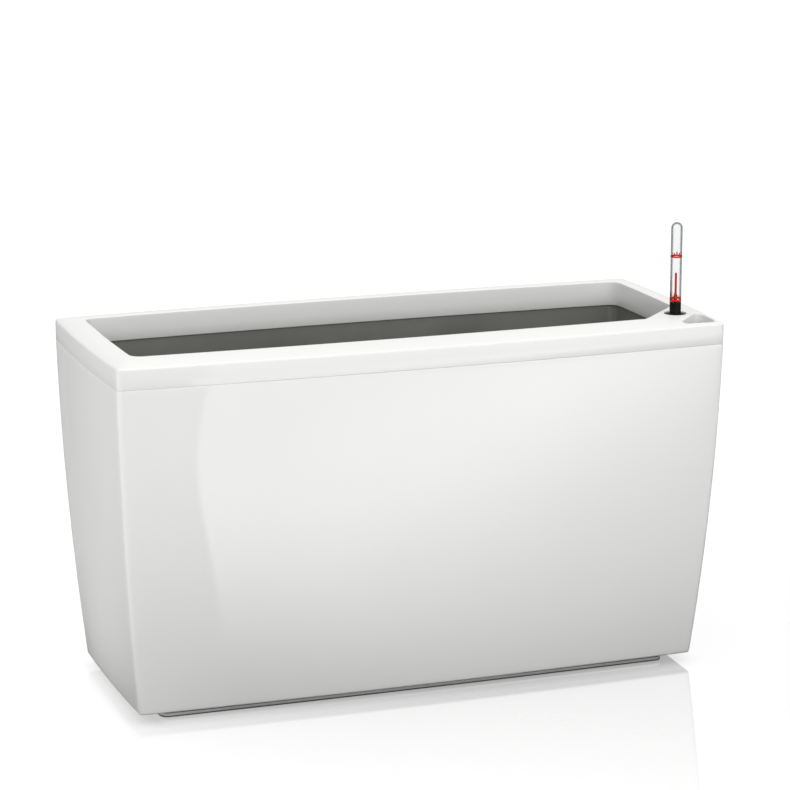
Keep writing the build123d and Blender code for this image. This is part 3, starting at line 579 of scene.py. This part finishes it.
def edge_distance(points):
    """Distance from the nearest outer side, with a soft change between two sides at a corner."""
    distances = np.maximum(side_distances(points, OUTER_PLAN), LEAST_DISTANCE)
    return (distances**-LEAST_POWER).sum(axis=0) ** (-1 / LEAST_POWER)


def ring_distance(points, ring):
    """Distance of each point from a closed ring."""
    a = np.array(ring)
    d = np.roll(a, -1, axis=0) - a
    rel = points[:, None, :] - a[None]
    t = np.clip((rel * d).sum(-1) / np.maximum((d * d).sum(-1), 1e-9), 0, 1)
    return np.sqrt(((rel - t[..., None] * d) ** 2).sum(-1)).min(axis=1)


def inside_ring(points, ring):
    """Whether each point lies inside a closed ring."""
    a = np.array(ring)
    b = np.roll(a, -1, axis=0)
    x, y = points[:, 0:1], points[:, 1:2]
    crosses = (a[:, 1] > y) != (b[:, 1] > y)
    with np.errstate(divide="ignore", invalid="ignore"):
        at_x = a[:, 0] + (y - a[:, 1]) * (b[:, 0] - a[:, 0]) / (b[:, 1] - a[:, 1])
    return (crosses & (x < at_x)).sum(axis=1) % 2 == 1


def quarter_drop(distance, radius):
    """How far a rounded edge falls below its surface at a distance from the edge."""
    near = np.clip(radius - distance, 0, radius)
    return radius - np.sqrt(np.maximum(radius**2 - near**2, 0))


def crown_height(points, rings):
    """The rim's crowned top: it rises from the outer edge to the opening, and all edges are rounded."""
    outer = edge_distance(points)
    inner = np.maximum(-side_distances(points, OPENING_PLAN).min(axis=0), 0)
    share = np.clip(outer / (outer + inner + 1e-6), 0, 1)
    height = RIM_EDGE_Z + (RIM_TOP_Z - RIM_EDGE_Z) * (1 - (1 - share) ** CROWN_POWER)
    for name, radius in EDGE_ROUND.items():
        height = height - quarter_drop(ring_distance(points, rings[name]), radius)
    return height


def inset_steps(radius):
    """Distances from an edge at which its rounding needs a row of points."""
    return [radius * (1 - math.cos(math.radians(a))) for a in EDGE_ANGLES]


def frame_plan(depth):
    """Boundary rings of the frame's plan, moved into the material by depth."""
    return {
        "outer": shell_ring(SEAM_Z, depth),
        "opening": opening_ring(depth),
        "hole": circle_ring(HOLE_X, HOLE_Y, HOLE_RADIUS + depth, HOLE_STEPS),
        "funnel": funnel_ring(depth),
    }


def triangulated(rings, extra, guides=()):
    """2D points and triangles between an outer ring and holes, with guide rings and extra points in between."""
    points, edges = [], []
    for ring in [*rings, *guides]:
        start = len(points)
        points += ring
        edges += [(start + i, start + (i + 1) % len(ring)) for i in range(len(ring))]
    points += extra
    found = delaunay_2d_cdt([Vector(p) for p in points], edges, [], 0, 1e-5)
    flat = np.array([tuple(p) for p in found[0]])
    triangles = np.array([list(f) for f in found[2]])
    middle = flat[triangles].mean(axis=1)
    keep = inside_ring(middle, rings[0])
    for hole in rings[1:]:
        keep &= ~inside_ring(middle, hole)
    return flat, triangles[keep]


def clear_of(points, rings, margins):
    """Those points that lie in the material and keep their margin from every boundary ring."""
    points = np.array(points)
    keep = inside_ring(points, rings["outer"])
    for name, ring in rings.items():
        if name != "outer":
            keep &= ~inside_ring(points, ring)
        keep &= ring_distance(points, ring) > margins[name]
    return [tuple(p) for p in points[keep]]


def frame_top(build, rings):
    """The crowned top surface, and the height of each boundary ring."""
    guides = [frame_plan(step)[name] for name, radius in EDGE_ROUND.items() for step in inset_steps(radius)]
    extra = []
    margins = {name: radius + ROW_MARGIN for name, radius in EDGE_ROUND.items()}
    for depth in OUTER_ROWS:
        extra += clear_of(shell_ring(SEAM_Z, depth), rings, margins)
    for depth in OPENING_ROWS:
        extra += clear_of(opening_ring(depth), rings, margins)
        extra += clear_of(funnel_ring(depth + 1), rings, margins)
        extra += clear_of(circle_ring(HOLE_X, HOLE_Y, HOLE_RADIUS + depth - 1, HOLE_ROW_STEPS), rings, margins)
    flat, triangles = triangulated(list(rings.values()), extra, guides)
    heights = crown_height(flat, rings)
    for a, b, c in triangles:
        build.face(*[(flat[i][0], flat[i][1], heights[i]) for i in (a, b, c)])
    return {name: crown_height(np.array(ring), rings) for name, ring in rings.items()}


def ceiling_height(points):
    """The underside of the top."""
    return CEILING_EDGE_Z + CEILING_RISE * np.clip(edge_distance(points) / CEILING_REACH, 0, 1)


def frame_skirt(build, ring, inner, heights, low):
    """A wall from the top surface down one boundary, round its foot and up to the ceiling."""

    def across(share):
        return [(x + (u - x) * share, y + (v - y) * share) for (x, y), (u, v) in zip(ring, inner)]

    levels = [[(x, y, z) for (x, y), z in zip(ring, heights)]]
    levels += [at(ring, low + SKIRT_BAND), at(ring, low + FOOT_ROUND)]
    levels += [at(across(share), low + FOOT_ROUND * rise) for share, rise in FOOT_STEPS]
    levels += [at(inner, low + FOOT_ROUND), at(inner, low + SKIRT_BAND)]
    levels += [[(x, y, z) for (x, y), z in zip(inner, ceiling_height(np.array(inner)))]]
    build.stack(levels)


def frame_ribs(build):
    """Thin cross ribs under the crowned top, between the opening's skirt and the outer wall."""
    spots = [(True, x) for x in RIB_X] + [(False, y) for y in RIB_Y]
    for side in (-1, 1):
        for along_x, place in spots:
            out = wall_at(OUTER_PLAN, along_x, place) - FRAME_WALL + RIB_SINK
            near = wall_at(OPENING_PLAN, along_x, place) + FRAME_WALL - RIB_SINK
            outline = [(out, RIB_LOW_Z), (near, RIB_LOW_Z), (near, RIB_INNER_Z), (out, RIB_OUTER_Z)]
            build.plate(outline, along_x, place, RIB_HALF_THICKNESS, side)


def peg_bosses(build):
    """Round bosses that hold the locating pegs."""
    for x in PEG_X:
        for side in (-1, 1):
            build.stack([at(circle_ring(x, side * PEG_Y, r, BOSS_STEPS), z) for r, z in BOSS_PROFILE], closed=True)


def planter_frame():
    build = Builder()
    rings = frame_plan(0.0)
    heights = frame_top(build, rings)
    inner = {
        "outer": shell_ring(SEAM_Z, FRAME_WALL),
        "opening": opening_ring(FRAME_WALL),
        "hole": circle_ring(HOLE_X, HOLE_Y, HOLE_RADIUS + HOLE_WALL, HOLE_STEPS),
        "funnel": funnel_ring(FUNNEL_WALL),
    }
    flat, triangles = triangulated(list(inner.values()), [])
    ceiling = ceiling_height(flat)
    for a, b, c in triangles:
        build.face(*[(flat[i][0], flat[i][1], ceiling[i]) for i in (a, b, c)])
    for name, ring in rings.items():
        frame_skirt(build, ring, inner[name], heights[name], SKIRT_LOWS[name])
    frame_ribs(build)
    peg_bosses(build)
    return stands_for(build.build("rim_frame", FRAME_SMOOTH_ANGLE), "planter_frame")


# ---- Parts that keep their CAD shape, with edges softened by so many millimetres ----
SOFT_EDGES = {
    "base_plinth": 0.8,
    "foot_pads": 0.6,
    "plinth_screws": 0.3,
    "plant_liner": 0.6,
    "water_shaft": 0.5,
    "guide_screws": 0.3,
    "handle_guide_left": 0.5,
    "handle_guide_right": 0.5,
    "lift_handle_left": 1.0,
    "lift_handle_right": 1.0,
    "handle_grip_left": 0.5,
    "handle_grip_right": 0.5,
    "frame_pegs": 0.5,
    "soil_separator": 0.6,
    "soil_cups": 0.5,
    "separator_legs": 0.8,
    "drain_plug": 0.4,
    "drain_seal": 0.3,
    "level_tube_black": 0.25,
    "tube_end_cap": 0.3,
    "guide_collar": 0.3,
    "level_marks": 0.06,
    "float_body": 0.3,
    "float_pointer": 0.15,
}
FLAT_ANGLE, EDGE_ANGLE, EDGE_SEGMENTS = 0.05, 30.0, 2


def softened(node, width):
    """A copy of a CAD part with its flat faces joined and its edges rounded over."""
    mesh = NODES[node].data.copy()
    work = bmesh.new()
    work.from_mesh(mesh)
    bmesh.ops.remove_doubles(work, verts=work.verts, dist=CAD_MERGE_DISTANCE)
    bmesh.ops.dissolve_limit(work, angle_limit=math.radians(FLAT_ANGLE), verts=work.verts, edges=work.edges)
    work.to_mesh(mesh)
    work.free()
    piece = bpy.data.objects.new(node + "_soft", mesh)
    bpy.context.scene.collection.objects.link(piece)
    mesh.shade_smooth()
    bevel = piece.modifiers.new("edges", "BEVEL")
    bevel.width = width * MM
    bevel.segments = EDGE_SEGMENTS
    bevel.limit_method = "ANGLE"
    bevel.angle_limit = math.radians(EDGE_ANGLE)
    bevel.harden_normals = True
    return stands_for(piece, node)


# ---- Level indicator ----
TUBE_R, TUBE_BORE, SPIGOT_BORE, SPIGOT_LENGTH, TUBE_EDGE = 6.8, 5.6, 4.7, 6.0, 0.3
TUBE_SPLIT_Z, TUBE_TOP_Z, TUBE_ROWS_Z, TUBE_ROWS = 444.3, 540.8, 450.0, 8
RING_R, RING_H, RING_EDGE, MIN_RING_Z, MAX_RING_Z = 7.1, 2.0, 0.12, 446.0, 498.5


def clear_tube():
    """The clear domed tube: outside up, dome, inside down, spigot."""
    dome_z, split, spigot_z = TUBE_TOP_Z - TUBE_R, TUBE_SPLIT_Z, TUBE_SPLIT_Z - SPIGOT_LENGTH
    outside = [(TUBE_BORE, spigot_z), (TUBE_BORE, split), (TUBE_R - TUBE_EDGE, split), (TUBE_R, split + TUBE_EDGE)]
    outside += [(TUBE_R, z) for z in np.linspace(TUBE_ROWS_Z, dome_z, TUBE_ROWS)]
    dome = arc_points((0.0, dome_z), TUBE_R, 0.1, math.pi / 2, DOME_STEPS)
    dome += arc_points((0.0, dome_z), TUBE_BORE, math.pi / 2, 0, DOME_STEPS)
    inside = [(TUBE_BORE, z) for z in np.linspace(dome_z - 5, split + 3, TUBE_ROWS)]
    inside += [(SPIGOT_BORE, split + 1.5), (SPIGOT_BORE, spigot_z), (TUBE_BORE, spigot_z)]
    return stands_for(turned("clear_tube", outside + dome + inside, HOLE_X, HOLE_Y), "level_tube_clear")


def level_ring(name, node, low):
    high, edge = low + RING_H, RING_EDGE
    profile = [(TUBE_R, low), (RING_R - edge, low), (RING_R, low + edge), (RING_R, high - edge)]
    profile += [(RING_R - edge, high), (TUBE_R, high), (TUBE_R, low)]
    return stands_for(turned(name, profile, HOLE_X, HOLE_Y), node)


# ---- Stage, lights and camera, in metres and degrees ----
BACKDROP = 1.05
FLOOR_SIZE, FLOOR_COLOUR, FLOOR_ROUGHNESS = 40.0, (0.22, 0.22, 0.22, 1), 0.9
# Painted contact shadow: where ambient occlusion finds the planter within the reach, the floor's glow drops to the
# lower strength.
FLOOR_LIFT, CONTACT_SHADOW_LIFT, CONTACT_SHADOW_REACH = 0.9, 0.6, 0.022
# The faint mirror image in the floor fades out with the distance from a place beside the planter.
MIRROR_CENTRE, MIRROR_NEAR, MIRROR_FAR, MIRROR_ROUGHNESS = (0.3, -0.1, 0.0), 0.1, 1.0, 0.02
MIRROR_SHARE, MIRROR_FAR_SHARE = 0.42, 0.12
# The sky: a base strength and lobes of (direction, half angle, strength).
SKY_BASE = 0.4
SKY_LOBES = [
    ((0.34, 0.94, 0.12), 30.0, 0.35),
    ((0.34, 0.94, 0.75), 40.0, 0.15),
    ((0.0, -1.0, 0.5), 60.0, 1.1),
    ((-1.0, 0.0, 0.5), 60.0, 0.08),
    ((0.0, 0.0, 1.0), 60.0, 0.93),
]
# What the floor throws back diffusely: a base strength and patches of (x, y, radius, strength).
FLOOR_BASE = 0.05
FLOOR_PATCHES = [
    (0.10, -0.50, 0.40, 2.0),
    (0.15, -1.40, 0.90, 4.1),
    (-0.90, -1.00, 0.70, 1.7),
    (-1.40, 0.15, 1.05, 5.0),
    (-0.55, 0.05, 0.35, 2.0),
    (0.10, 1.30, 0.90, 3.0),
    (1.40, 0.20, 0.80, 1.6),
]
NEAR_CENTRE, NEAR_INNER, NEAR_OUTER, NEAR_SHARE = (0.12, -0.1, 0.0), 0.2, 0.7, 0.2
# The bright field that the gloss shows: depth is measured forward from its slanting start.
FIELD_TILT, FIELD_START = 0.85, 0.40
FIELD_DARK, FIELD_BRIGHT, FIELD_FAR = 0.1, 2.6, 1.75
RISE_DEPTHS, FALL_DEPTHS = (-0.3, 0.3), (0.3, 0.9)
RIM_SHARE, RIM_Y = 0.6, (-1.8, -1.5)
# The wavy line that cuts the field off on its left, and the dimmer field beyond it.
EDGE_X, EDGE_Y, EDGE_SLOPE, EDGE_WAVE, EDGE_BLUR = 0.022, -1.475, -0.2076, 0.018, 0.006
WAVE_MIDDLE, WAVE_LENGTH = -0.62, 1.72
FIELD_LEFT, LEFT_RISE_Y, LEFT_FALL_Y = 0.45, (-1.5, -0.8), (-0.15, -0.02)
CORNER_SPOT, CORNER_SPOT_REACH, CORNER_SPOT_GLOW = (-0.7, -0.6, 0.0), 0.25, 0.2
# A glow where only the back and the right end of the planter can mirror it.
UNSEEN_GLOW, BEHIND_Y, BEHIND_X, RIGHT_X = 0.45, (0.1, 0.6), (-0.35, 0.0), (1.0, 1.5)
KEY_PLACE, KEY_TARGET, KEY_SIZE, KEY_POWER = (-0.6, -3.4, 2.1), (0, 0, 0.25), 2.0, 4.1
CAMERA_PLACE, CAMERA_DOWN, CAMERA_TURN = (-1.16595, -3.27745, 1.1531), 13.235, -19.71
CAMERA_LENS, CAMERA_SENSOR, CAMERA_NEAR, CAMERA_FAR = 136.08, 36.0, 0.1, 60.0


def floor_distance(tree, point):
    """Distance of the shaded point from a place on the floor."""
    distance = tree.nodes.new("ShaderNodeVectorMath")
    distance.operation = "DISTANCE"
    distance.inputs[1].default_value = point
    tree.links.new(object_place(tree), distance.inputs[0])
    return distance.outputs["Value"]


def left_of_edge(tree, x, y):
    """1 left of a gently waving line on the floor and 0 right of it."""
    line = arithmetic(tree, "MULTIPLY", arithmetic(tree, "SUBTRACT", y, EDGE_Y), EDGE_SLOPE)
    phase = arithmetic(tree, "MULTIPLY", arithmetic(tree, "SUBTRACT", WAVE_MIDDLE, y), math.tau / WAVE_LENGTH)
    wave = arithmetic(tree, "MULTIPLY", arithmetic(tree, "SINE", phase), -EDGE_WAVE)
    edge = arithmetic(tree, "ADD", arithmetic(tree, "ADD", line, wave), EDGE_X)
    return map_range(tree, arithmetic(tree, "SUBTRACT", edge, x), -EDGE_BLUR, EDGE_BLUR, 0.0, 1.0)


def mirrored_floor(tree):
    """What the gloss shows of the floor: a bright field in front, cut off on its left by a wavy edge."""
    place = axes(tree, object_place(tree))
    x, y = place["X"], place["Y"]
    slant = arithmetic(tree, "ADD", y, arithmetic(tree, "MULTIPLY", arithmetic(tree, "MAXIMUM", x, 0.0), FIELD_TILT))
    depth = arithmetic(tree, "SUBTRACT", -FIELD_START, slant)
    rise = map_range(tree, depth, *RISE_DEPTHS, FIELD_DARK, FIELD_BRIGHT)
    field = arithmetic(tree, "ADD", rise, map_range(tree, depth, *FALL_DEPTHS, 0.0, FIELD_FAR - FIELD_BRIGHT))
    field = arithmetic(tree, "MULTIPLY", field, map_range(tree, y, *RIM_Y, RIM_SHARE, 1.0))
    left_rise = map_range(tree, y, *LEFT_RISE_Y, 0.0, 1.0)
    left_fall = map_range(tree, y, *LEFT_FALL_Y, 1.0, 0.0)
    beside = arithmetic(tree, "MULTIPLY", arithmetic(tree, "MULTIPLY", left_rise, left_fall), FIELD_LEFT)
    front = mixed(tree, left_of_edge(tree, x, y), field, beside)
    spot = map_range(tree, floor_distance(tree, CORNER_SPOT), 0.0, CORNER_SPOT_REACH, CORNER_SPOT_GLOW, 0.0)
    behind_y = map_range(tree, y, *BEHIND_Y, 0.0, 1.0)
    behind_x = map_range(tree, x, *BEHIND_X, 0.0, 1.0)
    behind = arithmetic(tree, "MULTIPLY", behind_y, behind_x)
    unseen = arithmetic(tree, "MAXIMUM", behind, map_range(tree, x, *RIGHT_X, 0.0, 1.0))
    total = arithmetic(tree, "ADD", front, spot)
    return arithmetic(tree, "ADD", total, arithmetic(tree, "MULTIPLY", unseen, UNSEEN_GLOW))


def bounce_light(tree):
    """Light that the floor throws back diffusely: soft patches, dimmer close to the planter."""
    total = FLOOR_BASE
    for x, y, radius, strength in FLOOR_PATCHES:
        distance = floor_distance(tree, (x, y, 0.0))
        total = arithmetic(tree, "ADD", total, map_range(tree, distance, 0.0, radius, strength, 0.0))
    near = map_range(tree, floor_distance(tree, NEAR_CENTRE), NEAR_INNER, NEAR_OUTER, NEAR_SHARE, 1.0)
    return arithmetic(tree, "MULTIPLY", total, near)


def direct_view(tree):
    """1 for what the camera sees directly or through clear plastic."""
    path = tree.nodes.new("ShaderNodeLightPath")
    return arithmetic(tree, "MAXIMUM", path.outputs["Is Camera Ray"], path.outputs["Is Transmission Ray"])


def mixed_shader(tree, factor, first, second):
    """The first shader where factor is 0 and the second where it is 1."""
    node = tree.nodes.new("ShaderNodeMixShader")
    tree.links.new(factor, node.inputs["Fac"])
    tree.links.new(first, node.inputs[1])
    tree.links.new(second, node.inputs[2])
    return node.outputs["Shader"]


def studio_floor():
    """A white floor with a faint mirror image and a painted contact shadow; what it throws back on the planter is set
    apart.
    """
    bpy.ops.mesh.primitive_plane_add(size=FLOOR_SIZE, location=(0, 0, 0))
    floor = bpy.context.object
    floor.name = "studio_floor"
    material, tree, shader = nodes_of("floor_white")
    shader.inputs["Base Color"].default_value = FLOOR_COLOUR
    shader.inputs["Roughness"].default_value = FLOOR_ROUGHNESS
    shader.inputs["Specular IOR Level"].default_value = 0.0
    shader.inputs["Emission Color"].default_value = (1, 1, 1, 1)
    # Painted contact shadow: the floor's glow is turned down where ambient occlusion finds the planter close.
    contact = tree.nodes.new("ShaderNodeAmbientOcclusion")
    contact.inputs["Distance"].default_value = CONTACT_SHADOW_REACH
    lift = map_range(tree, contact.outputs["AO"], 0.0, 1.0, CONTACT_SHADOW_LIFT, FLOOR_LIFT, smooth=False)
    tree.links.new(lift, shader.inputs["Emission Strength"])
    mirror = tree.nodes.new("ShaderNodeBsdfGlossy")
    mirror.inputs["Color"].default_value = (1, 1, 1, 1)
    mirror.inputs["Roughness"].default_value = MIRROR_ROUGHNESS
    away = floor_distance(tree, MIRROR_CENTRE)
    fade = map_range(tree, away, MIRROR_NEAR, MIRROR_FAR, MIRROR_SHARE, MIRROR_FAR_SHARE)
    seen = mixed_shader(tree, fade, shader.outputs["BSDF"], mirror.outputs["BSDF"])
    bounce = tree.nodes.new("ShaderNodeEmission")
    glossy = tree.nodes.new("ShaderNodeLightPath").outputs["Is Glossy Ray"]
    tree.links.new(mixed(tree, glossy, bounce_light(tree), mirrored_floor(tree)), bounce.inputs["Strength"])
    both = mixed_shader(tree, direct_view(tree), bounce.outputs["Emission"], seen)
    tree.links.new(both, tree.nodes["Material Output"].inputs["Surface"])
    floor.data.materials.append(material)


def sky_light(tree):
    """Light from all round, with soft lobes like large softboxes."""
    coord = tree.nodes.new("ShaderNodeTexCoord")
    total = SKY_BASE
    for direction, half_angle, strength in SKY_LOBES:
        dot = tree.nodes.new("ShaderNodeVectorMath")
        dot.operation = "DOT_PRODUCT"
        dot.inputs[1].default_value = Vector(direction).normalized()
        tree.links.new(coord.outputs["Generated"], dot.inputs[0])
        edge = math.cos(math.radians(half_angle))
        total = arithmetic(tree, "ADD", total, map_range(tree, dot.outputs["Value"], edge, 1.0, 0.0, strength))
    return total


def studio_world():
    """An even white backdrop for the camera, and the sky's light for everything else."""
    world = bpy.data.worlds.new("studio")
    bpy.context.scene.world = world
    world.use_nodes = True
    tree = world.node_tree
    background = tree.nodes["Background"]
    strength = mixed(tree, direct_view(tree), sky_light(tree), BACKDROP)
    tree.links.new(strength, background.inputs["Strength"])
    background.inputs["Color"].default_value = (1, 1, 1, 1)


def key_light():
    """A large soft light in front, which the gloss does not mirror."""
    data = bpy.data.lights.new("front_key", "AREA")
    data.shape = "RECTANGLE"
    data.size, data.size_y, data.energy = KEY_SIZE, KEY_SIZE, KEY_POWER
    light = bpy.data.objects.new("front_key", data)
    light.location = KEY_PLACE
    light.visible_glossy = False
    light.rotation_euler = (Vector(KEY_TARGET) - Vector(KEY_PLACE)).to_track_quat("-Z", "Y").to_euler()
    bpy.context.scene.collection.objects.link(light)


def product_camera():
    """The camera of the photograph."""
    data = bpy.data.cameras.new("product_camera")
    data.lens, data.sensor_width = CAMERA_LENS, CAMERA_SENSOR
    data.clip_start, data.clip_end = CAMERA_NEAR, CAMERA_FAR
    camera = bpy.data.objects.new("product_camera", data)
    camera.location = CAMERA_PLACE
    camera.rotation_euler = (math.radians(90 - CAMERA_DOWN), 0, math.radians(CAMERA_TURN))
    bpy.context.scene.collection.objects.link(camera)
    bpy.context.scene.camera = camera


# ---- The scene ----
for node_name, node_object in NODES.items():
    dress(node_object, SLOT_OF[node_name])
outer_shell()
planter_frame()
for node_name, edge_width in SOFT_EDGES.items():
    softened(node_name, edge_width)
clear_tube()
level_ring("lower_ring", "min_ring", MIN_RING_Z)
level_ring("upper_ring", "max_ring", MAX_RING_Z)
studio_floor()
studio_world()
key_light()
product_camera()
bpy.context.scene.view_settings.view_transform = "Standard"
